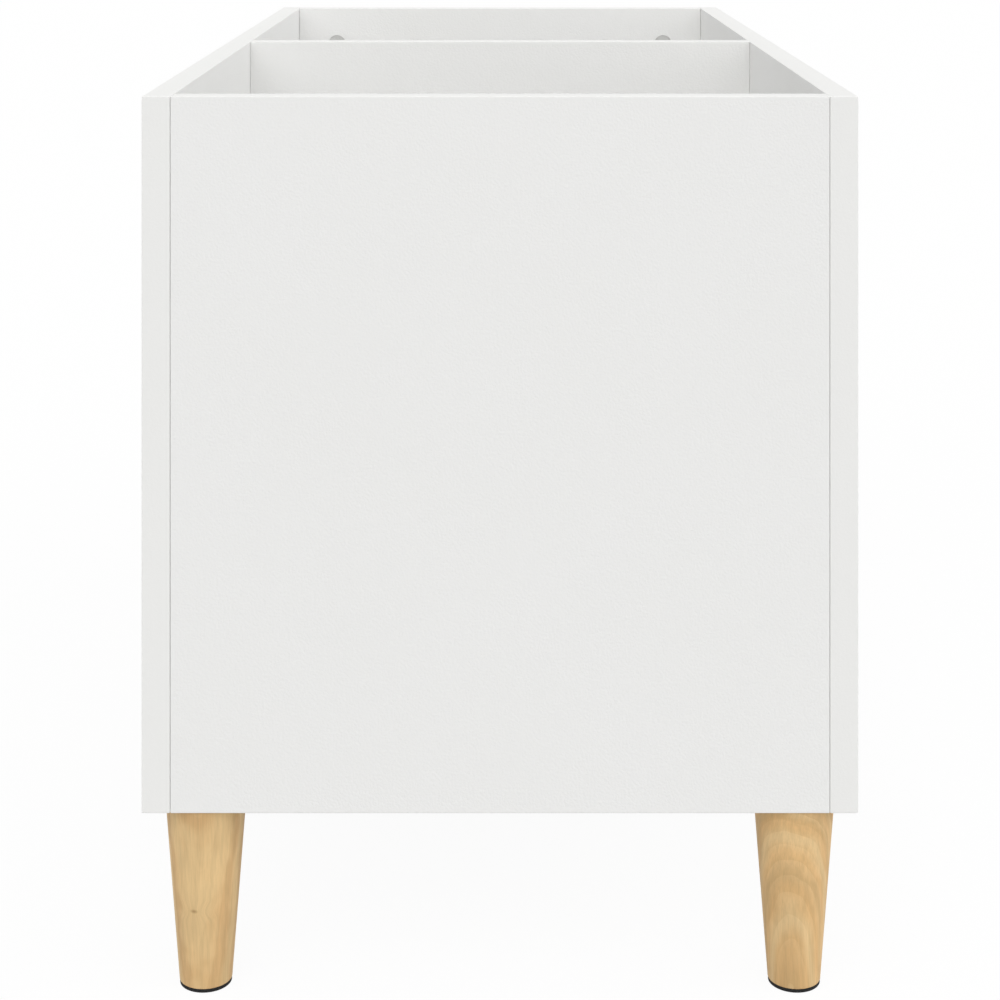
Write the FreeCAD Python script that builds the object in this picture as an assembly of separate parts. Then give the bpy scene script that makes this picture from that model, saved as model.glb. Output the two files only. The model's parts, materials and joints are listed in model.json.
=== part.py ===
import FreeCAD, Part
import math
import os
from FreeCAD import Placement, Rotation, Vector

# An open-topped record cabinet: two square bins in a row, made of faced board held by cam fittings and
# dowels, on four turned legs.
# Millimetres, +Z up. X runs along the two bins, from left to right, and Y from front to back. The origin is
# on the floor under the middle of the cabinet.

# Boards
BOARD = 15.0  # thickness of every board
BIN_LENGTH = 350.0  # clear length of one bin, along X
BIN_DEPTH = 350.0  # clear depth between the long panels, along Y
BODY_HEIGHT = 380.0  # from the underside to the rim
SEAM = 0.2  # hairline gap where a board butts against another
DIVIDER_SEAM = 0.1  # the same at the divider, which is cut closer
EASE = 0.5  # rounding of a band's rims and of upright corners on the outside
INNER_EASE = 0.2  # rounding of upright corners inside the bins
BAND = 1.0  # thickness of the band glued on a board's edge

# Legs and their pads
LEG_HEIGHT = 98.0
LEG_TOP_RADIUS = 21.8
LEG_FOOT_RADIUS = 14.1
LEG_RIM = 0.3  # rounding of the leg's two rims
LEG_INSET_END = 23.1  # from the end of the cabinet to a leg's axis
LEG_INSET_SIDE = 31.1  # from the face of a long panel to a leg's axis
PAD_THICKNESS = 2.0
PAD_INSET = 0.2  # the pad is this much smaller all round than the leg's foot
PAD_RIM = 0.3

# Hanger bolt of a leg, and the threaded insert that it turns into
HANGER_RADIUS = 3.0
HANGER_IN_LEG = 35.0
HANGER_POINT = 5.0  # length of the pointed end
HANGER_TIP_RADIUS = 1.0
HANGER_CHAMFER = 1.0
HANGER_END_GAP = 1.0  # room past each end of the bolt
INSERT_RADIUS = 4.5
INSERT_COVER = 2.0  # board left above the insert

# Cam fitting: a disc let into a board's face, which grips the ball head of a bolt in the long panel
CAM_SETBACK = 33.0  # from the cam's axis to the face of the long panel
CAM_DROP = 31.0  # below the rim, and as far above the bottom panel
CAM_RADIUS = 7.5
CAM_PLAY = 0.08  # between the cam and its bore
CAM_RECESS = 0.6  # the cam's face lies this far under the board's face
CAM_BASE = 1.3  # thickness of the cam's floor, under the bolt's head
CAM_UNDER = 0.3  # room under the cam
CAM_TURN = 180.0  # degrees from locked to open
CAM_THROW = 0.5  # eccentricity of the hollow, which draws the bolt in
CAM_SLOT_MARGIN = 30.0  # degrees of slot past each end of the turn
CAM_GRIP_GAP = 0.15  # between the ball and the cam's hook when it is locked
CAM_CROSS_LENGTH = 7.0
CAM_CROSS_WIDTH = 1.5
CAM_WEB = 0.9  # left between the driver's cross and the hollow
CAM_RIM = 0.3
CAM_MARK_DEPTH = 0.3
CAM_MARK_SIZE = 1.6
CAM_MARK_INSET = 1.6  # from the cam's rim to the tip of the arrow mark

BALL_RADIUS = 3.5
BALL_AT = 1.2  # from the cam's axis to the middle of the ball, towards the long panel
BALL_PLAY = 0.3
NECK_RADIUS = 2.25
NECK_PLAY = 0.4
NECK_PAST_BORE = 2.0  # the neck reaches this far past the cam's bore
SHANK_RADIUS = 3.4
SHANK_PLAY = 0.6
COLLAR_PLAY = 0.2
COLLAR_WIDTH = 1.5
THREAD_RADIUS = 3.0
THREAD_COVER = 4.0  # board left past the thread's end

# Wooden dowels
DOWEL_RADIUS = 4.0
DOWEL_LENGTH = 30.0
DOWEL_CHAMFER = 0.8
DOWEL_COVER = 3.0  # board left past a dowel in a panel's face
DOWEL_FROM_CAM = 62.0  # along an upright seam, from a cam to the next dowel
DOWEL_FROM_MIDDLE = 110.0  # along a bin, from its middle to a dowel of the bottom panel
DOWEL_FROM_CENTRE = 95.0  # across the cabinet, from its centre line to a dowel at the end

# Countersunk screws from below into the divider
SCREW_RADIUS = 2.0
SCREW_LENGTH = 40.0
SCREW_HEAD_RADIUS = 4.0
SCREW_HEAD_SUNK = 0.3
SCREW_POINT = 4.0
SCREW_TIP_RADIUS = 0.1
SCREW_CROSS_LENGTH = 4.6
SCREW_CROSS_WIDTH = 1.0
SCREW_CROSS_DEPTH = 1.4
SCREW_FROM_CENTRE = 80.0

FIT = 0.05  # clearance of what is screwed, glued or knocked into a hole
HOLE_END = 0.5  # a drilled hole goes this far past what fills it
OUT = 1.0  # a cutting tool stands this far out of what it cuts
TINY = 1e-6  # two places closer than this are the same

# Sizes that follow
LENGTH = 3 * BOARD + 2 * BIN_LENGTH
DEPTH = 2 * BOARD + BIN_DEPTH
UNDERSIDE = PAD_THICKNESS + LEG_HEIGHT
BIN_FLOOR = UNDERSIDE + BOARD
RIM = UNDERSIDE + BODY_HEIGHT
END_FACE = LENGTH / 2 - BOARD  # inner face of an end panel, from the middle
BIN_MIDDLE = BOARD / 2 + BIN_LENGTH / 2
PAD_RADIUS = LEG_FOOT_RADIUS - PAD_INSET
LEG_X = LENGTH / 2 - LEG_INSET_END
LEG_Y = DEPTH / 2 - LEG_INSET_SIDE
CAM_LEVELS = {"low": BIN_FLOOR + CAM_DROP, "top": RIM - CAM_DROP}
DOWEL_LEVELS = (CAM_LEVELS["low"] + DOWEL_FROM_CAM, CAM_LEVELS["top"] - DOWEL_FROM_CAM)

LEFT_RIGHT = {"left": -1, "right": 1}
FRONT_BACK = {"front": -1, "back": 1}
X_WAY = Vector(1, 0, 0)
Y_WAY = Vector(0, 1, 0)
Z_WAY = Vector(0, 0, 1)

solids = {}  # node name to the list of its solids
cuts = {}  # board name to the list of tools that cut it


def add(node, solid):
    solids.setdefault(node, []).append(solid)


def cut_from(board, tool):
    cuts.setdefault(board, []).append(tool)


def seat(point, x_way, z_way):
    """Places a local frame: its origin at point, its X along x_way and its Z along z_way."""
    return Placement(point, Rotation(x_way, z_way.cross(x_way), z_way, "ZXY"))


def placed(shape, placement):
    moved = shape.copy()
    moved.Placement = placement.multiply(moved.Placement)
    return moved


def box(low, high):
    """A block from its lowest corner to its highest one."""
    size = high - low
    return Part.makeBox(size.x, size.y, size.z, low)


def rod(radius, start, end):
    """A round bar from one point to another."""
    along = end - start
    return Part.makeCylinder(radius, along.Length, start, along)


def turned(profile):
    """A solid of revolution about Z, from (radius, height) points listed upwards along its outside."""
    bottom, top = profile[0][1], profile[-1][1]
    points = [(0, bottom), *profile, (0, top), (0, bottom)]
    outline = Part.makePolygon([Vector(r, 0, z) for r, z in points])
    return Part.Face(outline).revolve(Vector(0, 0, 0), Z_WAY, 360)


def fillet_where(shape, radius, wanted):
    """Rounds the edges whose middle point passes the test."""
    edges = [e for e in shape.Edges if wanted(e.CenterOfMass)]
    return shape.makeFillet(radius, edges)


# Boards and their bands


def upright_board(low, high, outside=None):
    """A cross board, its upright corners eased, and most at the x of its outside face if it has one."""
    board = box(low, high)
    middle = (low.z + high.z) / 2
    for x in (low.x, high.x):
        radius = EASE if x == outside else INNER_EASE
        board = fillet_where(board, radius, lambda p: abs(p.z - middle) < TINY and abs(p.x - x) < TINY)
    return board


def band(length):
    """A band on the ground plane, glued face down: length along X, the board's thickness along Y."""
    strip = box(Vector(-length / 2, -BOARD / 2, 0), Vector(length / 2, BOARD / 2, BAND))
    return fillet_where(strip, EASE, lambda p: p.z > TINY)


def make_long_panel(side, way):
    """Front or back panel: a plain board with a band on its four edges."""
    node = side + "_panel"
    y = way * (DEPTH - BOARD) / 2
    half = LENGTH / 2 - BAND
    low = Vector(-half, y - BOARD / 2, UNDERSIDE + BAND)
    high = Vector(half, y + BOARD / 2, RIM - BAND)
    add(node, box(low, high))
    edging = node + "_edging"
    add(edging, placed(band(2 * half), seat(Vector(0, y, high.z), X_WAY, Z_WAY)))
    add(edging, placed(band(2 * half), seat(Vector(0, y, low.z), X_WAY, -Z_WAY)))
    middle = (UNDERSIDE + RIM) / 2
    for end in LEFT_RIGHT.values():
        at = seat(Vector(end * half, y, middle), Z_WAY, end * X_WAY)
        add(edging, placed(band(BODY_HEIGHT), at))


def make_end_panel(side, way):
    """End panel between the long panels, banded along its top and its bottom."""
    node = side + "_end_panel"
    x = way * (LENGTH - BOARD) / 2
    half = BIN_DEPTH / 2 - SEAM
    low = Vector(x - BOARD / 2, -half, UNDERSIDE + BAND)
    high = Vector(x + BOARD / 2, half, RIM - BAND)
    outside = low.x if way < 0 else high.x
    add(node, upright_board(low, high, outside))
    edging = side + "_end_edging"
    add(edging, placed(band(2 * half), seat(Vector(x, 0, high.z), Y_WAY, Z_WAY)))
    add(edging, placed(band(2 * half), seat(Vector(x, 0, low.z), Y_WAY, -Z_WAY)))


def make_divider():
    """The board between the bins stands on the bottom panel, and only its top is banded."""
    half = BIN_DEPTH / 2 - DIVIDER_SEAM
    low = Vector(-BOARD / 2, -half, BIN_FLOOR)
    high = Vector(BOARD / 2, half, RIM - BAND)
    add("divider_panel", upright_board(low, high))
    add("divider_edging", placed(band(2 * half), seat(Vector(0, 0, high.z), Y_WAY, Z_WAY)))


def make_bottom():
    half_x = END_FACE - SEAM
    half_y = BIN_DEPTH / 2 - SEAM
    low = Vector(-half_x, -half_y, UNDERSIDE)
    add("bottom_panel", box(low, Vector(half_x, half_y, BIN_FLOOR)))


# Cam fittings. In the local frame the board's face is at z 0, and the bolt leaves the cam along X.

GRIP_HEIGHT = 2 * (BALL_RADIUS + BALL_PLAY)
BOLT_Z = -BOARD / 2
CAM_FLOOR = BOLT_Z - GRIP_HEIGHT / 2 - CAM_BASE
BORE_RADIUS = CAM_RADIUS + CAM_PLAY
BOLT_HOLE_RADIUS = SHANK_RADIUS + SHANK_PLAY
BOLT_WAY = Vector(0, 0, BOLT_Z)  # the bolt's axis passes here, above the cam's own axis


def along_bolt(x):
    return BOLT_WAY + x * X_WAY


def cam_mark():
    """A small arrow on the cam's face, which points at the bolt when the cam is open."""
    tip = Vector(CAM_RADIUS - CAM_MARK_INSET, 0, -CAM_RECESS - CAM_MARK_DEPTH)
    back = tip - CAM_MARK_SIZE * X_WAY
    wing = CAM_MARK_SIZE / 2 * Y_WAY
    outline = Part.makePolygon([tip, back + wing, back - wing, tip])
    return Part.Face(outline).extrude((CAM_MARK_DEPTH + OUT) * Z_WAY)


def cross(length, width, bottom, top):
    """A cross-shaped driver recess about Z."""
    bar = box(Vector(-length / 2, -width / 2, bottom), Vector(length / 2, width / 2, top))
    other = bar.copy()
    other.rotate(Vector(0, 0, 0), Z_WAY, 90)
    return bar.fuse(other)


def cam_disc():
    """The cam, locked: an eccentric hollow, a slot for the bolt's neck, and a window for its head."""
    height = -CAM_RECESS - CAM_FLOOR
    disc = Part.makeCylinder(CAM_RADIUS, height, Vector(0, 0, CAM_FLOOR))
    disc = fillet_where(disc, CAM_RIM, lambda p: abs(p.z + CAM_RECESS) < TINY)
    grip_low = BOLT_Z - GRIP_HEIGHT / 2
    hollow_radius = BALL_AT + CAM_THROW + BALL_RADIUS + CAM_GRIP_GAP
    hollow = Part.makeCylinder(hollow_radius, GRIP_HEIGHT, Vector(-CAM_THROW, 0, grip_low))
    slot_height = 2 * (NECK_RADIUS + NECK_PLAY)
    slot_low = Vector(0, 0, BOLT_Z - slot_height / 2)
    slot_reach = CAM_RADIUS + OUT
    sweep = CAM_TURN + 2 * CAM_SLOT_MARGIN
    slot = Part.makeCylinder(slot_reach, slot_height, slot_low, Z_WAY, sweep)
    slot.rotate(Vector(0, 0, 0), Z_WAY, CAM_SLOT_MARGIN - sweep)
    half = GRIP_HEIGHT / 2
    window = box(Vector(0, -half, grip_low), Vector(slot_reach, half, grip_low + GRIP_HEIGHT))
    recess = cross(CAM_CROSS_LENGTH, CAM_CROSS_WIDTH, grip_low + GRIP_HEIGHT + CAM_WEB, 0)
    mark = cam_mark()
    for tool in (window, mark):
        tool.rotate(Vector(0, 0, 0), Z_WAY, -CAM_TURN)
    return disc.cut([hollow, slot, window, recess, mark])


def cam_bolt():
    """Ball head, neck, shank, collar on the long panel's face, and thread in it, turned as one."""

    def at(x, radius):
        return along_bolt(x) + radius * Y_WAY

    neck_start = BALL_AT + math.sqrt(BALL_RADIUS**2 - NECK_RADIUS**2)
    shank_start = BORE_RADIUS + NECK_PAST_BORE
    collar_start = CAM_SETBACK - COLLAR_WIDTH
    collar_radius = BOLT_HOLE_RADIUS - COLLAR_PLAY
    thread_end = CAM_SETBACK + BOARD - THREAD_COVER
    tip = at(BALL_AT - BALL_RADIUS, 0)
    neck_edge = at(neck_start, NECK_RADIUS)
    ball = Part.Arc(tip, at(BALL_AT, BALL_RADIUS), neck_edge).toShape()
    steps = [
        neck_edge,
        at(shank_start, NECK_RADIUS),
        at(shank_start, SHANK_RADIUS),
        at(collar_start, SHANK_RADIUS),
        at(collar_start, collar_radius),
        at(CAM_SETBACK, collar_radius),
        at(CAM_SETBACK, THREAD_RADIUS),
        at(thread_end, THREAD_RADIUS),
        at(thread_end, 0),
        tip,
    ]
    outline = Part.Wire([ball, *Part.makePolygon(steps).Edges])
    return Part.Face(outline).revolve(BOLT_WAY, X_WAY, 360)


def cam_bore():
    return rod(BORE_RADIUS, Vector(0, 0, OUT), Vector(0, 0, CAM_FLOOR - CAM_UNDER))


def bolt_way_in_board():
    """The hole from the board's edge to the cam, for the bolt."""
    return rod(BOLT_HOLE_RADIUS, BOLT_WAY, along_bolt(CAM_SETBACK))


def thread_hole():
    hole_end = CAM_SETBACK + BOARD - THREAD_COVER + HOLE_END
    return rod(THREAD_RADIUS + FIT, along_bolt(CAM_SETBACK - OUT), along_bolt(hole_end))


def fit_cam(name, board, side, at):
    """One cam in a board and its bolt in the long panel on that side."""
    add(name + "_cam", placed(cam_disc(), at))
    add(side + "_panel_cam_bolts", placed(cam_bolt(), at))
    cut_from(board, placed(cam_bore(), at))
    cut_from(board, placed(bolt_way_in_board(), at))
    cut_from(side + "_panel", placed(thread_hole(), at))


def fit_cams():
    uprights = (
        ("left_end", -END_FACE, X_WAY),
        ("right_end", END_FACE, -X_WAY),
        ("divider", -BOARD / 2, -X_WAY),
    )
    for side, way in FRONT_BACK.items():
        y = way * (BIN_DEPTH / 2 - CAM_SETBACK)
        for upright, face_x, facing in uprights:
            for level, z in CAM_LEVELS.items():
                at = seat(Vector(face_x, y, z), way * Y_WAY, facing)
                fit_cam(f"{upright}_{side}_{level}", upright + "_panel", side, at)
        for end, end_way in LEFT_RIGHT.items():
            at = seat(Vector(end_way * BIN_MIDDLE, y, UNDERSIDE), way * Y_WAY, -Z_WAY)
            fit_cam(f"bottom_{side}_{end}", "bottom_panel", side, at)


# Dowels. In the local frame a dowel runs along Z, into the panel's face at z 0, and out of it into an edge.

DOWEL_IN_FACE = BOARD - DOWEL_COVER


def dowel():
    low, high = DOWEL_IN_FACE - DOWEL_LENGTH, DOWEL_IN_FACE
    tip = DOWEL_RADIUS - DOWEL_CHAMFER
    side = [(DOWEL_RADIUS, low + DOWEL_CHAMFER), (DOWEL_RADIUS, high - DOWEL_CHAMFER)]
    return turned([(tip, low), *side, (tip, high)])


def dowel_hole():
    low = DOWEL_IN_FACE - DOWEL_LENGTH - HOLE_END
    return rod(DOWEL_RADIUS + FIT, Vector(0, 0, low), Vector(0, 0, DOWEL_IN_FACE + HOLE_END))


def fit_dowel(node, edge_board, face_board, point, into_face):
    """One dowel from the edge of a board into the face of another."""
    across = X_WAY if abs(into_face.x) < 0.5 else Y_WAY
    at = seat(point, across, into_face)
    add(node, placed(dowel(), at))
    for board in (edge_board, face_board):
        cut_from(board, placed(dowel_hole(), at))


def fit_dowels():
    uprights = {"left_end": -(LENGTH - BOARD) / 2, "right_end": (LENGTH - BOARD) / 2, "divider": 0}
    bottom_middle = UNDERSIDE + BOARD / 2
    for side, way in FRONT_BACK.items():
        y = way * BIN_DEPTH / 2
        for upright, x in uprights.items():
            for z in DOWEL_LEVELS:
                board = upright + "_panel"
                fit_dowel(upright + "_dowels", board, side + "_panel", Vector(x, y, z), way * Y_WAY)
        for bin_middle in (-BIN_MIDDLE, BIN_MIDDLE):
            for x in (bin_middle - DOWEL_FROM_MIDDLE, bin_middle + DOWEL_FROM_MIDDLE):
                point = Vector(x, y, bottom_middle)
                fit_dowel("bottom_dowels", "bottom_panel", side + "_panel", point, way * Y_WAY)
    for end, way in LEFT_RIGHT.items():
        for y in (-DOWEL_FROM_CENTRE, DOWEL_FROM_CENTRE):
            point = Vector(way * END_FACE, y, bottom_middle)
            fit_dowel("bottom_dowels", "bottom_panel", end + "_end_panel", point, way * X_WAY)


# Screws up through the bottom panel into the divider's foot. The local z 0 is the bottom panel's underside.


def screw_shape(slack, sunk, length):
    """Countersunk screw pointing up, or with some slack the hole for it."""
    radius, head = SCREW_RADIUS + slack, SCREW_HEAD_RADIUS + slack
    cone_top = sunk + head - radius
    point_start = length - SCREW_POINT
    tip = SCREW_TIP_RADIUS + slack
    return turned([(head, sunk), (radius, cone_top), (radius, point_start), (tip, length)])


def divider_screw():
    screw = screw_shape(0, SCREW_HEAD_SUNK, SCREW_LENGTH)
    depth = SCREW_HEAD_SUNK + SCREW_CROSS_DEPTH
    return screw.cut(cross(SCREW_CROSS_LENGTH, SCREW_CROSS_WIDTH, 0, depth))


def divider_screw_hole():
    hole = screw_shape(FIT, SCREW_HEAD_SUNK, SCREW_LENGTH + HOLE_END)
    mouth = rod(SCREW_HEAD_RADIUS + FIT, Vector(0, 0, -OUT), Vector(0, 0, SCREW_HEAD_SUNK))
    return hole.fuse(mouth)


def fit_screws():
    for y in (-SCREW_FROM_CENTRE, SCREW_FROM_CENTRE):
        at = seat(Vector(0, y, UNDERSIDE), X_WAY, Z_WAY)
        add("divider_screws", placed(divider_screw(), at))
        for board in ("bottom_panel", "divider_panel"):
            cut_from(board, placed(divider_screw_hole(), at))


# Legs. In the local frame the cabinet's underside is at z 0, and the leg hangs below it.

INSERT_HEIGHT = BOARD - INSERT_COVER
HANGER_IN_INSERT = INSERT_HEIGHT - HANGER_END_GAP


def leg():
    cone = Part.makeCone(LEG_FOOT_RADIUS, LEG_TOP_RADIUS, LEG_HEIGHT, Vector(0, 0, -LEG_HEIGHT))
    cone = fillet_where(cone, LEG_RIM, lambda p: min(abs(p.z), abs(p.z + LEG_HEIGHT)) < TINY)
    hole_end = -HANGER_IN_LEG - HANGER_END_GAP
    return cone.cut(rod(HANGER_RADIUS + FIT, Vector(0, 0, OUT), Vector(0, 0, hole_end)))


def foot_pad():
    low = -LEG_HEIGHT - PAD_THICKNESS
    pad = Part.makeCylinder(PAD_RADIUS, PAD_THICKNESS, Vector(0, 0, low))
    return fillet_where(pad, PAD_RIM, lambda p: abs(p.z - low) < TINY)


def hanger_bolt():
    """Machine thread in the insert above, wood thread with a point in the leg below."""
    shoulder = HANGER_IN_INSERT - HANGER_CHAMFER
    point_start = HANGER_POINT - HANGER_IN_LEG
    point = (HANGER_TIP_RADIUS, -HANGER_IN_LEG)
    side = [(HANGER_RADIUS, point_start), (HANGER_RADIUS, shoulder)]
    return turned([point, *side, (HANGER_RADIUS - HANGER_CHAMFER, HANGER_IN_INSERT)])


def insert_nut():
    barrel = rod(INSERT_RADIUS, Vector(0, 0, 0), Vector(0, 0, INSERT_HEIGHT))
    return barrel.cut(rod(HANGER_RADIUS + FIT, Vector(0, 0, -OUT), Vector(0, 0, INSERT_HEIGHT + OUT)))


def insert_hole():
    return rod(INSERT_RADIUS + FIT, Vector(0, 0, -OUT), Vector(0, 0, INSERT_HEIGHT + FIT))


def fit_legs():
    pieces = {
        "leg": leg(),
        "foot_pad": foot_pad(),
        "hanger_bolt": hanger_bolt(),
        "insert_nut": insert_nut(),
    }
    for side, y_way in FRONT_BACK.items():
        for end, x_way in LEFT_RIGHT.items():
            at = seat(Vector(x_way * LEG_X, y_way * LEG_Y, UNDERSIDE), X_WAY, Z_WAY)
            for piece, shape in pieces.items():
                add(f"{side}_{end}_{piece}", placed(shape, at))
            cut_from("bottom_panel", placed(insert_hole(), at))


def export():
    os.makedirs("parts", exist_ok=True)
    for node, shapes in solids.items():
        if node in cuts:
            shapes = [shapes[0].cut(cuts[node])]
        found = [s for shape in shapes for s in shape.Solids]
        whole = found[0] if len(found) == 1 else Part.makeCompound(found)
        whole.exportStep(f"parts/{node}.step")
        volume = sum(s.Volume for s in found)
        print(f"{node}: {len(found)} solid(s), {volume:.0f} mm3, valid {whole.isValid()}")


for side_name, side_way in FRONT_BACK.items():
    make_long_panel(side_name, side_way)
for end_name, end_way in LEFT_RIGHT.items():
    make_end_panel(end_name, end_way)
make_divider()
make_bottom()
fit_cams()
fit_dowels()
fit_screws()
fit_legs()
export()
print(f"cabinet {LENGTH:.1f} x {DEPTH:.1f} x {RIM:.1f} mm, {len(solids)} nodes")
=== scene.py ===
# %% [markdown]
# # An open record cabinet on turned legs
# The cabinet is flat-pack furniture: white faced boards, banded along their edges, drawn together by cam
# fittings, on four tapered wooden legs with black pads. The boards and fittings arrive as exact solids, one
# object each. This lesson gives every one of them its real finish, turns the legs afresh with Geometry Nodes
# so that their grain can run through the wood, and sets up a plain studio.

import json
import math

import bpy
from mathutils import Matrix, Vector


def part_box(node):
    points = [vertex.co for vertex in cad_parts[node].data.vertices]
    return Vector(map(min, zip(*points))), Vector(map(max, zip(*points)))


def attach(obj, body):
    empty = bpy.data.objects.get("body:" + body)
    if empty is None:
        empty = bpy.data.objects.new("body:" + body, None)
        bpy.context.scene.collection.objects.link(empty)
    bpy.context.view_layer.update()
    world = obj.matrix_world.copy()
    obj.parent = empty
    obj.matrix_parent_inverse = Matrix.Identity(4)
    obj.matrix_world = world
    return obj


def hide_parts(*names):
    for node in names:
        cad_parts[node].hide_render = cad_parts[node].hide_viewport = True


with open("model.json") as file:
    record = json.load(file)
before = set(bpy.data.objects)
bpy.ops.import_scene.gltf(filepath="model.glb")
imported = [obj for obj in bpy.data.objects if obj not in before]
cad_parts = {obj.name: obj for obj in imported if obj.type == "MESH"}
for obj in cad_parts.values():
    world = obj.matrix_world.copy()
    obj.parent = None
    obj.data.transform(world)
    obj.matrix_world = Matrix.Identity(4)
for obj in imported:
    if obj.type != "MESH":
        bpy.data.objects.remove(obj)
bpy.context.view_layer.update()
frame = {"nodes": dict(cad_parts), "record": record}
nodes = frame["nodes"]

# %% [markdown]
# ## Camera
# The picture is taken from one end of the cabinet, from above the rim, and yet all its upright edges stay
# upright. A photographer gets that by keeping the film plane upright and letting the lens look down past it.
# The same is done here: the camera stays level with its picture plane parallel to the near end panel, and
# only the direction in which it looks is slanted. That slant is a shear, so a parent gives it to the camera.

# %% Camera with an upright picture plane
IMAGE_SIDE = 1000  # pixels, both ways
SENSOR = 36.0  # mm
EYE = Vector((1.5055, 0.0, 0.5992))  # metres, in front of the right end panel
SCALE_AT_ONE_METRE = 2137.6  # pixels across one metre seen from one metre away
HORIZON = 628.4  # pixels from the middle of the picture up to the eye's level

look_down = HORIZON / SCALE_AT_ONE_METRE
backwards = Vector((1.0, 0.0, look_down))
stretch = backwards.length  # the slanted axis is longer than the level one
camera_data = bpy.data.cameras.new("camera")
camera_data.sensor_width = SENSOR
camera_data.lens = SCALE_AT_ONE_METRE * stretch * SENSOR / IMAGE_SIDE
camera_data.clip_start = 0.05
camera_data.clip_end = 200.0
camera = bpy.data.objects.new("camera", camera_data)
tripod = bpy.data.objects.new("tripod", None)
for item in (tripod, camera):
    bpy.context.scene.collection.objects.link(item)
camera.parent = tripod
columns = (Vector((0, 1, 0)), Vector((0, 0, 1)), backwards / stretch, EYE)
rows = [[column[row] for column in columns] for row in range(3)]
camera.matrix_parent_inverse = Matrix([*rows, [0, 0, 0, 1]])
bpy.context.scene.camera = camera
slant = math.degrees(math.atan(look_down))
print("lens", round(camera_data.lens, 2), "mm, looking down by", round(slant, 1), "degrees")

# %% [markdown]
# ## Helpers for finishes
# Colours are written as the hex values that a paint chart gives, and one function turns them into the linear
# light values that shaders use. Another adds a node with its settings and links, for shaders and for geometry
# alike. A Mix node has its colours on sockets 6 and 7, and a scaled vector has its factor on socket 3.

# %% Helpers


def linear(hex_colour):
    """An sRGB hex colour as linear red, green, blue and alpha."""
    parts = [int(hex_colour[i : i + 2], 16) / 255 for i in (1, 3, 5)]
    return [*(p / 12.92 if p <= 0.04045 else ((p + 0.055) / 1.055) ** 2.4 for p in parts), 1.0]


def add_node(tree, kind, sockets=None, **settings):
    """Adds a node. A socket gets a value, an output, or a node, whose first output in use is linked."""
    made = tree.nodes.new(kind)
    for name, value in settings.items():
        setattr(made, name, value)
    for key, value in (sockets or {}).items():
        if isinstance(value, bpy.types.Node):
            value = next(output for output in value.outputs if output.enabled)
        if isinstance(value, bpy.types.NodeSocket):
            tree.links.new(value, made.inputs[key])
        else:
            made.inputs[key].default_value = value
    return made


def empty_finish(name):
    """A new material and its empty tree."""
    material = bpy.data.materials.new(name)
    material.use_nodes = True
    material.node_tree.nodes.clear()
    return material, material.node_tree


def per_metre(millimetres):
    """Texture scale for a pattern whose features are this wide."""
    return 1000.0 / millimetres


print("mid grey is", [round(v, 3) for v in linear("#808080")])

# %% [markdown]
# ## White melamine facing
# The boards are particle board with a white melamine paper pressed onto both faces. The press plate leaves a
# fine pearl texture, which breaks up reflections without giving them any direction, and the colour is even to
# within a shade. The pearl is about 0.5 mm across on the real board. It is drawn at 1.4 mm here, because
# finer than that it would fall between the pixels.

# %% White melamine
PEARL = 1.4  # mm
CLOUD = 120.0  # mm, very slow change of shade
GLOSS_SWING = 0.06  # added to the roughness on the pearl's tops, and taken off in its hollows


def pearl_finish(name, light, dark, roughness, pearl_depth):
    """A pale pressed or extruded surface. The noise fills about a third of the pearl's depth, in mm."""
    material, tree = empty_finish(name)
    place = add_node(tree, "ShaderNodeTexCoord").outputs["Object"]
    cloud = add_node(tree, "ShaderNodeTexNoise", {"Vector": place, "Scale": per_metre(CLOUD), "Detail": 3.0})
    shade = add_node(tree, "ShaderNodeMix", {0: cloud, 6: linear(dark), 7: linear(light)}, data_type="RGBA")
    pearl = add_node(tree, "ShaderNodeTexNoise", {"Vector": place, "Scale": per_metre(PEARL), "Detail": 2.0})
    limits = {"To Min": roughness - GLOSS_SWING, "To Max": roughness + GLOSS_SWING}
    gloss = add_node(tree, "ShaderNodeMapRange", {"Value": pearl, **limits})
    relief = add_node(tree, "ShaderNodeBump", {"Height": pearl, "Distance": pearl_depth / 1000})
    look = {"Base Color": shade, "Roughness": gloss, "Normal": relief, "IOR": 1.5}
    shader = add_node(tree, "ShaderNodeBsdfPrincipled", look)
    add_node(tree, "ShaderNodeOutputMaterial", {"Surface": shader})
    return material


white_melamine = pearl_finish("white melamine facing", "#F3F3F2", "#F1F1EF", 0.5, 0.18)
print("made", white_melamine.name)

# %% [markdown]
# ## Edge band
# The cut edges are covered with a white ABS band, extruded and then trimmed with a rounding cutter. It is a
# touch duller than the facing, because the trimming takes its skin off, and its pearl is shallower.

# %% White ABS edge band
white_abs = pearl_finish("white ABS edge band", "#F3F3F1", "#F1F1EF", 0.58, 0.06)
print("made", white_abs.name)

# %% [markdown]
# ## Metal fittings
# The cams are die-cast zinc, tumbled and left raw: a dull grey with a slightly grainy skin. The bolts,
# inserts and screws are steel with a bright zinc plating, which is smoother. Both are true metals, so their
# colour is the tint of what they reflect.

# %% Die-cast zinc and zinc-plated steel


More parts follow.
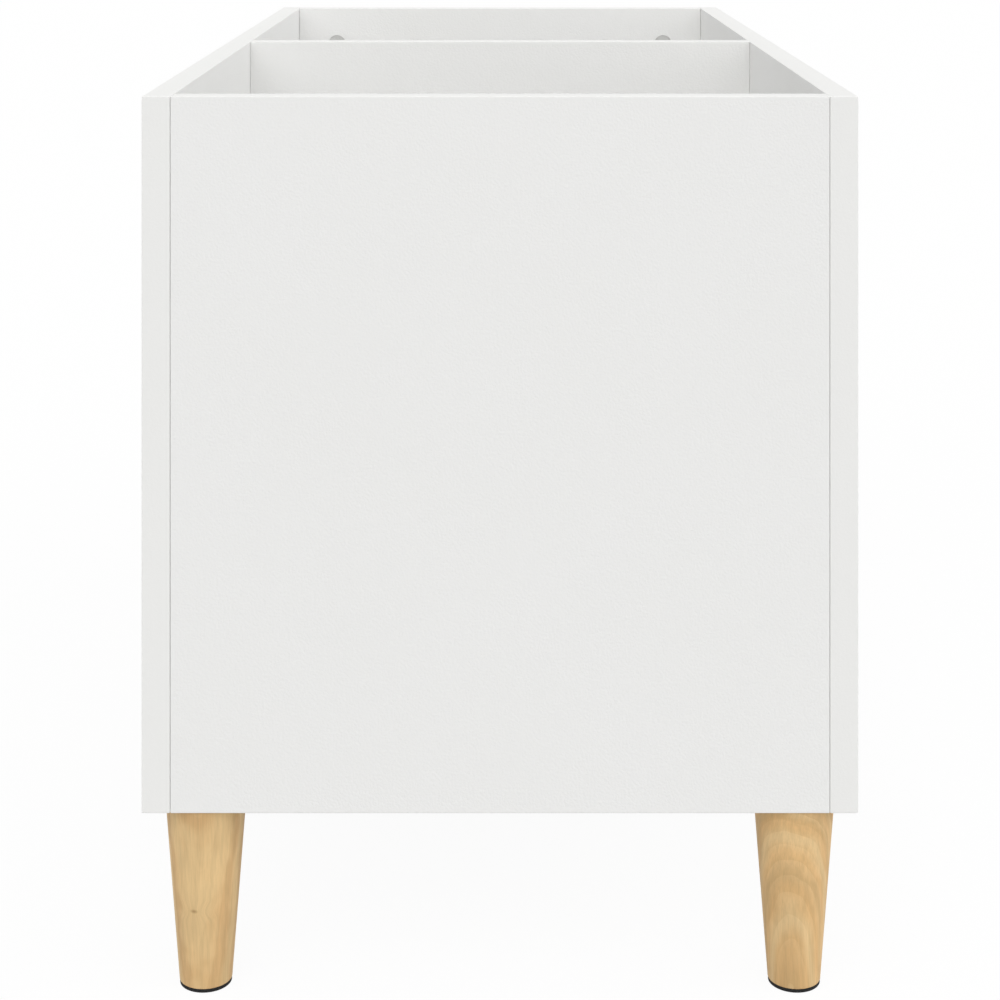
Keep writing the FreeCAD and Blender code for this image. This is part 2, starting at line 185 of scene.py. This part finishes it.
def metal_finish(name, pale, dull, smooth, rough, grain, grain_depth):
    """A raw metal with a grain of this width and depth, both in millimetres."""
    material, tree = empty_finish(name)
    place = add_node(tree, "ShaderNodeTexCoord").outputs["Object"]
    skin = add_node(tree, "ShaderNodeTexNoise", {"Vector": place, "Scale": per_metre(grain), "Detail": 4.0})
    tint = add_node(tree, "ShaderNodeMix", {0: skin, 6: linear(dull), 7: linear(pale)}, data_type="RGBA")
    gloss = add_node(tree, "ShaderNodeMapRange", {"Value": skin, "To Min": rough, "To Max": smooth})
    relief = add_node(
        tree, "ShaderNodeBump", {"Height": skin, "Strength": 0.5, "Distance": grain_depth / 1000}
    )
    look = {"Base Color": tint, "Roughness": gloss, "Normal": relief, "Metallic": 1.0}
    shader = add_node(tree, "ShaderNodeBsdfPrincipled", look)
    add_node(tree, "ShaderNodeOutputMaterial", {"Surface": shader})
    return material


cast_zinc = metal_finish("die-cast zinc", "#DADAD8", "#C2C2C0", 0.42, 0.62, 0.9, 0.03)
plated_steel = metal_finish("zinc-plated steel", "#D5D7D9", "#C3C5C6", 0.24, 0.38, 1.6, 0.01)
print("made", cast_zinc.name, "and", plated_steel.name)

# %% [markdown]
# ## Foot pads
# Each leg stands on a disc of black closed-cell foam rubber, glued on. Its cells make a fine dull grain.

# %% Black foam rubber
CELL = 0.8  # mm
CELL_DEPTH = 0.1  # mm


def foam_finish(name, pale, dark):
    """A soft matt surface of small round cells."""
    material, tree = empty_finish(name)
    place = add_node(tree, "ShaderNodeTexCoord").outputs["Object"]
    cells = add_node(tree, "ShaderNodeTexVoronoi", {"Vector": place, "Scale": per_metre(CELL)})
    tint = add_node(tree, "ShaderNodeMix", {0: cells, 6: linear(dark), 7: linear(pale)}, data_type="RGBA")
    gloss = add_node(tree, "ShaderNodeMapRange", {"Value": cells, "To Min": 0.95, "To Max": 0.8})
    relief = add_node(
        tree, "ShaderNodeBump", {"Height": cells, "Strength": 0.6, "Distance": CELL_DEPTH / 1000}
    )
    look = {"Base Color": tint, "Roughness": gloss, "Normal": relief, "Specular IOR Level": 0.3}
    shader = add_node(tree, "ShaderNodeBsdfPrincipled", look)
    add_node(tree, "ShaderNodeOutputMaterial", {"Surface": shader})
    return material


black_foam = foam_finish("black foam rubber", "#2A2A2A", "#161616")
print("made", black_foam.name)

# %% [markdown]
# ## Wood
# A turned leg cuts through the year rings of its billet at a slant, and where it does, the rings come out as
# stacked arches. A flat picture of grain can't do that, so the rings are solid here: cylinders round the pith
# of the tree. Each leg carries the coordinates of its own billet, which Geometry Nodes stores on the mesh.
# Round a knot the rings bend, so the coordinates are pushed away from it first.

# %% Where a point lies in its tree
KNOT_OVAL = (1.0, 0.7, 1.4)  # the knot is wide and low
KNOT_REACH = 11.0  # mm, how far the rings bend round a knot
KNOT_BEND = 0.6  # how strongly they do


def place_in_tree(tree):
    """A point's place round the pith, and how far it is from the knot, in metres."""
    billet = add_node(tree, "ShaderNodeAttribute", attribute_name="billet").outputs["Vector"]
    from_knot = add_node(tree, "ShaderNodeAttribute", attribute_name="from_knot").outputs["Vector"]
    oval = add_node(tree, "ShaderNodeVectorMath", {0: from_knot, 1: KNOT_OVAL}, operation="MULTIPLY")
    knot_far = add_node(tree, "ShaderNodeVectorMath", {0: oval}, operation="LENGTH")
    fading = {"Value": knot_far, "From Max": KNOT_REACH / 1000, "To Min": KNOT_BEND, "To Max": 0.0}
    bend = add_node(tree, "ShaderNodeMapRange", fading, interpolation_type="SMOOTHSTEP")
    pushed = add_node(tree, "ShaderNodeVectorMath", {0: from_knot, 3: bend}, operation="SCALE")
    return add_node(tree, "ShaderNodeVectorMath", {0: billet, 1: pushed}, operation="ADD"), knot_far


print("rings bend within", KNOT_REACH, "mm of a knot")

# %% [markdown]
# Three sets of rings lie in the wood. The year rings come back every few millimetres and are sharp on one
# side, because each year's dense late wood ends at once. Runs of good and poor years make wider soft bands.
# Heartwood has a third set, of a warmer tone. All of them wander a little from their circles.

# %% Colours of the rings
RINGS = {  # mm from ring to ring, profile, and the radians of a ring by which it wanders
    "season": (1.8, "SAW", 3.0),
    "spell": (7.5, "SIN", 3.0),
    "blush": (4.1, "SIN", 2.0),
}
WANDER = 20.0  # mm, over which a ring leaves its circle
RINGS_PER_UNIT = 20 / (2 * math.pi)  # that the Wave node draws at scale 1
SEASON_SHARE = (0.15, 0.42)  # how far year rings show, in sapwood and in heartwood
SPELL_SHARE = 0.65
BLUSH_SHARE = 0.6
SAPWOOD = ("#E7C691", "#D5AD79")  # early and late wood
HEARTWOOD = ("#E4C491", "#D3B07C")
WARM_BAND = "#E2B67C"


def ring_colour(tree, where):
    """The colour that the rings give a point, without its fibres."""
    bands = {}
    for ring, (spacing, profile, wander) in RINGS.items():
        scale = per_metre(spacing) / RINGS_PER_UNIT
        sockets = {
            "Vector": where,
            "Scale": scale,
            "Distortion": wander,
            "Detail": 2.0,
            "Detail Scale": per_metre(WANDER) / scale,
            "Detail Roughness": 0.45,
        }
        wave = {"wave_type": "RINGS", "rings_direction": "Z", "wave_profile": profile}
        bands[ring] = add_node(tree, "ShaderNodeTexWave", sockets, **wave).outputs["Fac"]
    heart = add_node(tree, "ShaderNodeAttribute", attribute_name="heartwood").outputs["Fac"]
    shares = {"Value": heart, "To Min": SEASON_SHARE[0], "To Max": SEASON_SHARE[1]}
    clear = add_node(tree, "ShaderNodeMapRange", shares, interpolation_type="SMOOTHSTEP")
    season = add_node(tree, "ShaderNodeMath", {0: bands["season"], 1: clear}, operation="MULTIPLY")
    spell = add_node(tree, "ShaderNodeMath", {0: bands["spell"], 1: SPELL_SHARE}, operation="MULTIPLY")
    both = add_node(tree, "ShaderNodeMath", {0: season, 1: spell}, operation="ADD")
    late = add_node(
        tree, "ShaderNodeMapRange", {"Value": both, "From Min": 0.05}, interpolation_type="SMOOTHSTEP"
    )
    tones = [
        add_node(tree, "ShaderNodeMix", {0: heart, 6: linear(sap), 7: linear(core)}, data_type="RGBA")
        for sap, core in zip(SAPWOOD, HEARTWOOD)
    ]
    rings = add_node(tree, "ShaderNodeMix", {0: late, 6: tones[0], 7: tones[1]}, data_type="RGBA")
    blush = add_node(tree, "ShaderNodeMath", {0: bands["blush"], 1: heart}, operation="MULTIPLY")
    warm = add_node(tree, "ShaderNodeMath", {0: blush, 1: BLUSH_SHARE}, operation="MULTIPLY")
    return add_node(tree, "ShaderNodeMix", {0: warm, 6: rings, 7: linear(WARM_BAND)}, data_type="RGBA")


print("rings every", ", ".join(str(ring[0]) for ring in RINGS.values()), "mm")

# %% [markdown]
# Over the rings lie long fibres, short dark pores, slow clouds and streaks. They are all noise, stretched
# along the grain, and each makes the wood a few hundredths darker or paler. The varnish follows the fibres a
# little: it is duller where it has sunk in. The fibres and pores are drawn wider than they are in the real
# wood, so that they show.

# %% Varnished wood of the legs
GRAIN = {  # mm across and along, detail, the part of the noise that tells, and the tones that it gives
    "fibre": ((0.55, 14.0), 3.0, (0.3, 0.7), (0.97, 1.03)),
    "pore": ((0.4, 5.0), 1.0, (0.64, 0.76), (1.0, 0.95)),
    "cloud": ((24.0, 48.0), 2.0, (0.3, 0.7), (0.95, 1.05)),
    "streak": ((2.2, 60.0), 2.0, (0.3, 0.7), (0.95, 1.05)),
}
VARNISH_ROUGHNESS = (0.64, 0.52)  # between the fibres and on them
FIBRE_DEPTH = 0.1  # mm
KNOT_HEART = 2.1  # mm
KNOT_COLOUR = "#9C7648"
KNOT_SHARE = 0.7


def wood_finish(name):
    """Pale hardwood with low-contrast rings, under a thin matt varnish."""
    material, tree = empty_finish(name)
    where, knot_far = place_in_tree(tree)
    rings = ring_colour(tree, where)
    noises = {}
    shade = 1.0
    for layer, ((across, along), detail, (low, high), (first, last)) in GRAIN.items():
        scale = [per_metre(size) for size in (across, across, along)]
        stretched = add_node(tree, "ShaderNodeVectorMath", {0: where, 1: scale}, operation="MULTIPLY")
        noise = {"Vector": stretched, "Scale": 1.0, "Detail": detail}
        noises[layer] = add_node(tree, "ShaderNodeTexNoise", noise)
        tones = {"Value": noises[layer], "From Min": low, "From Max": high, "To Min": first, "To Max": last}
        tone = add_node(tree, "ShaderNodeMapRange", tones, interpolation_type="SMOOTHSTEP")
        shade = add_node(tree, "ShaderNodeMath", {0: shade, 1: tone}, operation="MULTIPLY")
    grain = add_node(tree, "ShaderNodeVectorMath", {0: rings, 3: shade}, operation="SCALE")
    fading = {"Value": knot_far, "From Max": KNOT_HEART / 1000, "To Min": KNOT_SHARE, "To Max": 0.0}
    knot = add_node(tree, "ShaderNodeMapRange", fading, interpolation_type="SMOOTHSTEP")
    wood = add_node(tree, "ShaderNodeMix", {0: knot, 6: grain, 7: linear(KNOT_COLOUR)}, data_type="RGBA")
    low, high = GRAIN["fibre"][2]
    sunk, proud = VARNISH_ROUGHNESS
    limits = {"Value": noises["fibre"], "From Min": low, "From Max": high, "To Min": sunk, "To Max": proud}
    gloss = add_node(tree, "ShaderNodeMapRange", limits, interpolation_type="SMOOTHSTEP")
    feel = {"Height": shade, "Strength": 0.2, "Distance": FIBRE_DEPTH / 1000}
    relief = add_node(tree, "ShaderNodeBump", feel)
    look = {"Base Color": wood, "Roughness": gloss, "Normal": relief, "IOR": 1.4}
    shader = add_node(tree, "ShaderNodeBsdfPrincipled", look)
    add_node(tree, "ShaderNodeOutputMaterial", {"Surface": shader})
    return material


leg_wood = wood_finish("varnished rubberwood")
print("made", leg_wood.name, "with", len(leg_wood.node_tree.nodes), "nodes")

# %% [markdown]
# ## Dowels
# The dowels are bare beech, hidden once the cabinet is together. They get the plain look of beech: a warm
# even tone with fine dark flecks.

# %% Bare beech
FLECK = (0.5, 0.5, 2.5)  # mm
FLECK_DEPTH = 0.1  # mm


def beech_finish(name, pale, fleck_colour):
    """Bare wood with short dark flecks."""
    material, tree = empty_finish(name)
    place = add_node(tree, "ShaderNodeTexCoord").outputs["Object"]
    scale = [per_metre(width) for width in FLECK]
    stretched = add_node(tree, "ShaderNodeVectorMath", {0: place, 1: scale}, operation="MULTIPLY")
    fleck = add_node(tree, "ShaderNodeTexNoise", {"Vector": stretched, "Scale": 1.0, "Detail": 2.0})
    dark = add_node(tree, "ShaderNodeMapRange", {"Value": fleck, "From Min": 0.55, "From Max": 0.75})
    colours = {0: dark, 6: linear(pale), 7: linear(fleck_colour)}
    tint = add_node(tree, "ShaderNodeMix", colours, data_type="RGBA")
    feel = {"Height": fleck, "Strength": 0.3, "Distance": FLECK_DEPTH / 1000}
    relief = add_node(tree, "ShaderNodeBump", feel)
    look = {"Base Color": tint, "Normal": relief, "Roughness": 0.65}
    shader = add_node(tree, "ShaderNodeBsdfPrincipled", look)
    add_node(tree, "ShaderNodeOutputMaterial", {"Surface": shader})
    return material


bare_beech = beech_finish("bare beech", "#D6B48C", "#B08A62")
print("made", bare_beech.name)

# %% [markdown]
# ## Finishes on the solids
# Every solid keeps its shape and takes the finish of its material slot in the record. The solids of the legs
# take theirs too, although the legs turned below stand in for them.

# %% Finish the solids
FINISHES = {
    "white_board": white_melamine,
    "edge_band": white_abs,
    "leg_wood": leg_wood,
    "foot_pad": black_foam,
    "zinc_cam": cast_zinc,
    "zinc_plated_steel": plated_steel,
    "beech_dowel": bare_beech,
}
for row in frame["record"]["subparts"]:
    mesh = nodes[row["node"]].data
    mesh.materials.clear()
    mesh.materials.append(FINISHES[row["material_slot"]])

# %% [markdown]
# ## Legs
# A turned leg follows one rule: its radius grows evenly from the foot to the top, and both rims are rounded
# over. A spun profile would give that shape. Geometry Nodes gives it too, makes all four legs from one tree
# with named inputs, and can also store on the mesh what the wood needs to know, so it is used here.

# %% What a leg is told
LEG_INPUTS = {
    "Place": "NodeSocketVector",
    "Height": "NodeSocketFloat",
    "Foot Radius": "NodeSocketFloat",
    "Top Radius": "NodeSocketFloat",
    "Rim": "NodeSocketFloat",
    "Rows": "NodeSocketInt",
    "Sides": "NodeSocketInt",
    "Pith Turn": "NodeSocketVector",
    "Pith Offset": "NodeSocketVector",
    "Pith Bend": "NodeSocketFloat",
    "Knot": "NodeSocketVector",
    "Heartwood": "NodeSocketFloat",
    "Wood": "NodeSocketMaterial",
}

leg_tree = bpy.data.node_groups.new("turned leg", "GeometryNodeTree")
for name, kind in LEG_INPUTS.items():
    leg_tree.interface.new_socket(name=name, in_out="INPUT", socket_type=kind)
leg_tree.interface.new_socket(name="Leg", in_out="OUTPUT", socket_type="NodeSocketGeometry")
given = add_node(leg_tree, "NodeGroupInput").outputs
print("leg tree has", len(LEG_INPUTS), "inputs")

# %% [markdown]
# The lathe's axis is a straight line from the foot up to the origin. Points at even steps would miss the
# small rims, so a cosine crowds them towards both ends.

# %% The lathe's axis
depth = add_node(leg_tree, "ShaderNodeMath", {0: given["Height"], 1: -1.0}, operation="MULTIPLY")
foot = add_node(leg_tree, "ShaderNodeCombineXYZ", {"Z": depth})
line = add_node(leg_tree, "GeometryNodeCurvePrimitiveLine", {"Start": foot, "End": (0, 0, 0)})
points = add_node(leg_tree, "GeometryNodeResampleCurve", {"Curve": line, "Count": given["Rows"]})
along = add_node(leg_tree, "GeometryNodeSplineParameter").outputs["Factor"]
angle = add_node(leg_tree, "ShaderNodeMath", {0: along, 1: math.pi}, operation="MULTIPLY")
swing = add_node(leg_tree, "ShaderNodeMath", {0: angle}, operation="COSINE")
# The cosine runs from 1 at the foot to -1 at the top, and this share of the height from -1 to 0.
share = add_node(leg_tree, "ShaderNodeMath", {0: swing, 1: -0.5, 2: -0.5}, operation="MULTIPLY_ADD")
row_level = add_node(leg_tree, "ShaderNodeMath", {0: share, 1: given["Height"]}, operation="MULTIPLY")
spot = add_node(leg_tree, "ShaderNodeCombineXYZ", {"Z": row_level})
axis = add_node(leg_tree, "GeometryNodeSetPosition", {"Geometry": points, "Position": spot})
print("with its axis it has", len(leg_tree.nodes), "nodes")

# %% [markdown]
# Each point gets its radius: the even taper, less what the rounding takes off. A rim is a quarter circle, so
# what it takes off follows from Pythagoras.

# %% The leg's radius
here = add_node(leg_tree, "GeometryNodeInputPosition")
level = add_node(leg_tree, "ShaderNodeSeparateXYZ", {"Vector": here}).outputs["Z"]
from_foot = add_node(leg_tree, "ShaderNodeMath", {0: level, 1: given["Height"]}, operation="ADD")
from_top = add_node(leg_tree, "ShaderNodeMath", {0: level, 1: -1.0}, operation="MULTIPLY")
ends = {"From Max": given["Height"], "To Min": given["Foot Radius"], "To Max": given["Top Radius"]}
taper = add_node(leg_tree, "ShaderNodeMapRange", {"Value": from_foot, **ends})

from_end = add_node(leg_tree, "ShaderNodeMath", {0: from_foot, 1: from_top}, operation="MINIMUM")
missing = add_node(leg_tree, "ShaderNodeMath", {0: given["Rim"], 1: from_end}, operation="SUBTRACT")
short = add_node(leg_tree, "ShaderNodeMath", {0: missing, 1: 0.0}, operation="MAXIMUM")
short_squared = add_node(leg_tree, "ShaderNodeMath", {0: short, 1: short}, operation="MULTIPLY")
rim_squared = add_node(leg_tree, "ShaderNodeMath", {0: given["Rim"], 1: given["Rim"]}, operation="MULTIPLY")
left = add_node(leg_tree, "ShaderNodeMath", {0: rim_squared, 1: short_squared}, operation="SUBTRACT")
at_least_none = add_node(leg_tree, "ShaderNodeMath", {0: left, 1: 0.0}, operation="MAXIMUM")
reach = add_node(leg_tree, "ShaderNodeMath", {0: at_least_none}, operation="SQRT")
rounding = add_node(leg_tree, "ShaderNodeMath", {0: given["Rim"], 1: reach}, operation="SUBTRACT")
radius = add_node(leg_tree, "ShaderNodeMath", {0: taper, 1: rounding}, operation="SUBTRACT")
print("with its radius it has", len(leg_tree.nodes), "nodes")

# %% [markdown]
# A circle is swept along the axis, and the wood's own measures are stored on the mesh: where each point lies
# in its billet, how far it is from a knot, and how much of the billet is heartwood. Pith Turn tilts the trunk
# against the leg: a strong tilt gives short stacked arches, and a slight one long streaks. Pith Offset says
# how far away the pith is, and Pith Bend how much the trunk curved.

# %% The swept leg and its wood
circle = add_node(leg_tree, "GeometryNodeCurvePrimitiveCircle", {"Resolution": given["Sides"], "Radius": 1.0})
sweep = {"Curve": axis, "Profile Curve": circle, "Scale": radius, "Fill Caps": True}
swept = add_node(leg_tree, "GeometryNodeCurveToMesh", sweep)

turning = {"Vector": here, "Rotation": given["Pith Turn"]}
tilted = add_node(leg_tree, "ShaderNodeVectorRotate", turning, rotation_type="EULER_XYZ")
level_squared = add_node(leg_tree, "ShaderNodeMath", {0: level, 1: level}, operation="MULTIPLY")
sag = add_node(leg_tree, "ShaderNodeMath", {0: level_squared, 1: given["Pith Bend"]}, operation="MULTIPLY")
back = add_node(leg_tree, "ShaderNodeMath", {0: sag, 1: -1.0}, operation="MULTIPLY")
bend = add_node(leg_tree, "ShaderNodeCombineXYZ", {"X": back})
bent = add_node(leg_tree, "ShaderNodeVectorMath", {0: tilted, 1: bend}, operation="ADD")
billet = add_node(leg_tree, "ShaderNodeVectorMath", {0: bent, 1: given["Pith Offset"]}, operation="ADD")
from_knot = add_node(leg_tree, "ShaderNodeVectorMath", {0: here, 1: given["Knot"]}, operation="SUBTRACT")
WOOD_MEASURES = (
    ("billet", billet, "FLOAT_VECTOR"),
    ("from_knot", from_knot, "FLOAT_VECTOR"),
    ("heartwood", given["Heartwood"], "FLOAT"),
)
wooden = swept
for name, value, kind in WOOD_MEASURES:
    measure = {"Geometry": wooden, "Name": name, "Value": value}
    wooden = add_node(leg_tree, "GeometryNodeStoreNamedAttribute", measure, data_type=kind)
print("stored on each leg:", ", ".join(name for name, value, kind in WOOD_MEASURES))

# %% [markdown]
# The leg was made with its top at the origin. The last nodes put it in its place, shade it smoothly, make it
# real and give it its wood.

# %% The end of the leg's tree
placed = add_node(leg_tree, "GeometryNodeTransform", {"Geometry": wooden, "Translation": given["Place"]})
smooth = add_node(leg_tree, "GeometryNodeSetShadeSmooth", {"Geometry": placed})
real = add_node(leg_tree, "GeometryNodeRealizeInstances", {"Geometry": smooth})
coated = add_node(leg_tree, "GeometryNodeSetMaterial", {"Geometry": real, "Material": given["Wood"]})
add_node(leg_tree, "NodeGroupOutput", {"Leg": coated})
print("leg tree has", len(leg_tree.nodes), "nodes")

# %% [markdown]
# The four legs differ only in how their billets were cut. The front right leg is sapwood with a knot. The
# back right one is mostly heartwood, from a trunk that leaned and curved, so it has the strongest arches.
# The other two lie between them.

# %% Billets of the four legs
FAR_AWAY = (0.0, 0.0, 9.0)  # for a leg without a knot
BILLETS = {  # turns in radians, lengths in metres
    "front_right_leg": {
        "Pith Turn": (0.0, math.radians(-1.5), 0.0),
        "Pith Offset": (0.034, -0.002, 0.0),
        "Pith Bend": 0.0,
        "Knot": (0.0172, -0.0043, -0.055),
        "Heartwood": 0.1,
    },
    "back_right_leg": {
        "Pith Turn": (math.radians(-3), math.radians(-22), 0.0),
        "Pith Offset": (0.012, -0.0035, 0.02),
        "Pith Bend": 1.5,
        "Knot": FAR_AWAY,
        "Heartwood": 0.8,
    },
    "front_left_leg": {
        "Pith Turn": (0.06, math.radians(-9), 0.9),
        "Pith Offset": (-0.03, 0.012, 0.05),
        "Pith Bend": 0.5,
        "Knot": FAR_AWAY,
        "Heartwood": 0.3,
    },
    "back_left_leg": {
        "Pith Turn": (-0.08, math.radians(7), 2.1),
        "Pith Offset": (0.018, 0.031, -0.04),
        "Pith Bend": 0.8,
        "Knot": FAR_AWAY,
        "Heartwood": 0.6,
    },
}
print("with a knot:", [node for node, cut in BILLETS.items() if cut["Knot"] != FAR_AWAY])

# %% [markdown]
# Each leg takes its size from its solid and from the pad under it. The tree runs on an empty mesh, and its
# result becomes the mesh of a plain object, which rides on the cabinet in place of the solid.

# %% Turn the four legs
LEG_RIM = 0.0003  # metres
PAD_INSET = 0.0002  # metres by which a foot is wider than its pad, all round
LEG_ROWS = 57
LEG_SIDES = 128


def turn_leg(node, cut):
    """Turns one leg to the size of its solid and puts it in that solid's place."""
    low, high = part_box(node)
    pad_low, pad_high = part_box(node.replace("_leg", "_foot_pad"))
    foot_radius = (pad_high.x - pad_low.x) / 2 + PAD_INSET
    height = high.z - low.z
    rim_radius = (high.x - low.x) / 2
    # The solid is widest where its top rim's rounding begins, just under the top.
    top_radius = foot_radius + (rim_radius - foot_radius) * height / (height - LEG_RIM)
    values = {
        "Place": ((low.x + high.x) / 2, (low.y + high.y) / 2, high.z),
        "Height": height,
        "Foot Radius": foot_radius,
        "Top Radius": top_radius,
        "Rim": LEG_RIM,
        "Rows": LEG_ROWS,
        "Sides": LEG_SIDES,
        "Wood": leg_wood,
        **cut,
    }
    blank = bpy.data.objects.new("leg blank", bpy.data.meshes.new("leg blank"))
    bpy.context.scene.collection.objects.link(blank)
    lathe = blank.modifiers.new("lathe", "NODES")
    lathe.node_group = leg_tree
    for item in leg_tree.interface.items_tree:
        if item.in_out == "INPUT":
            lathe[item.identifier] = values[item.name]
    bpy.context.view_layer.update()
    evaluated = blank.evaluated_get(bpy.context.evaluated_depsgraph_get())
    mesh = bpy.data.meshes.new_from_object(evaluated)
    bpy.data.objects.remove(blank)
    mesh.name = "turned_" + node
    piece = bpy.data.objects.new("turned_" + node, mesh)
    bpy.context.scene.collection.objects.link(piece)
    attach(piece, "cabinet")
    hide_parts(node)
    return piece


for leg_node, leg_cut in BILLETS.items():
    leg = turn_leg(leg_node, leg_cut)
    print(leg.name, len(leg.data.polygons), "faces, size", [round(v, 5) for v in leg.dimensions])

# %% [markdown]
# ## Studio
# The cabinet stands on a white floor that runs out of sight. To the camera the floor and the sky are plain
# white, with a soft shadow under the legs. So the floor's own shading is only a small share of what is seen,
# and the rest of it glows. What carries light between the floor and the cabinet is plain grey paper.

# %% Floor
FLOOR_SIZE = 60.0  # metres
FLOOR_BOUNCE = "#C7C7C7"  # what the floor sends back onto the cabinet
WHITE = "#FFFFFF"
SHADOW_SHARE = 0.06  # of the floor's own shading, in what the camera sees


def seen_directly(tree):
    """1 for rays from the camera, a mirror or glass, and 0 for rays that carry light."""
    rays = add_node(tree, "ShaderNodeLightPath").outputs
    sight = {0: rays["Is Camera Ray"], 1: rays["Is Glossy Ray"]}
    either = add_node(tree, "ShaderNodeMath", sight, operation="MAXIMUM")
    return add_node(tree, "ShaderNodeMath", {0: either, 1: rays["Is Transmission Ray"]}, operation="MAXIMUM")


def floor_finish(name):
    """Paper that is white to the eye and grey to the light."""
    material, tree = empty_finish(name)
    seen = seen_directly(tree)
    tones = {0: seen, 6: linear(FLOOR_BOUNCE), 7: linear(WHITE)}
    tone = add_node(tree, "ShaderNodeMix", tones, data_type="RGBA")
    paper = add_node(tree, "ShaderNodeBsdfDiffuse", {"Color": tone})
    glow = add_node(tree, "ShaderNodeEmission", {"Color": linear(WHITE), "Strength": 1.0})
    share = add_node(tree, "ShaderNodeMath", {0: seen, 1: 1.0 - SHADOW_SHARE}, operation="MULTIPLY")
    mixed = add_node(tree, "ShaderNodeMixShader", {0: share, 1: paper, 2: glow})
    add_node(tree, "ShaderNodeOutputMaterial", {"Surface": mixed})
    return material


half = FLOOR_SIZE / 2
corners = [(-half, -half, 0), (half, -half, 0), (half, half, 0), (-half, half, 0)]
floor_mesh = bpy.data.meshes.new("floor")
floor_mesh.from_pydata(corners, [], [(0, 1, 2, 3)])
floor_mesh.materials.append(floor_finish("white paper floor"))
floor = bpy.data.objects.new("floor", floor_mesh)
bpy.context.scene.collection.objects.link(floor)
print("floor of", FLOOR_SIZE, "metres")

# %% [markdown]
# What lights the cabinet is an even sky and three wide softboxes: two high behind the camera and a stronger
# one on the right, which give the faces their slight differences. Each is a sun lamp with a very large disc,
# so that it is as even as a softbox and nothing has a hard shadow.

# %% Sky and softboxes
SKY_LEVEL = 0.575
SOFTBOX_ANGLE = 60.0  # degrees across
SOFTBOXES = {  # the way to each one, and its power
    "front": ((1.0, 0.0, 0.84), 0.655),
    "left": ((1.0, -0.7, 1.0), 0.57),
    "right": ((0.25, 1.0, 0.5), 0.97),
}

world = bpy.data.worlds.new("white studio")
world.use_nodes = True
sky = world.node_tree
sky.nodes.clear()
levels = {"Value": seen_directly(sky), "To Min": SKY_LEVEL, "To Max": 1.0}
strength = add_node(sky, "ShaderNodeMapRange", levels)
even = add_node(sky, "ShaderNodeBackground", {"Color": linear(WHITE), "Strength": strength})
add_node(sky, "ShaderNodeOutputWorld", {"Surface": even})
bpy.context.scene.world = world

for side, (toward, power) in SOFTBOXES.items():
    lamp_data = bpy.data.lights.new(side + " softbox", "SUN")
    lamp_data.energy = power
    lamp_data.angle = math.radians(SOFTBOX_ANGLE)
    lamp = bpy.data.objects.new(side + " softbox", lamp_data)
    lamp.rotation_mode = "QUATERNION"
    lamp.rotation_quaternion = (-Vector(toward)).to_track_quat("-Z", "Y")
    bpy.context.scene.collection.objects.link(lamp)
bpy.context.scene.view_settings.view_transform = "Standard"
print("softboxes:", ", ".join(SOFTBOXES))
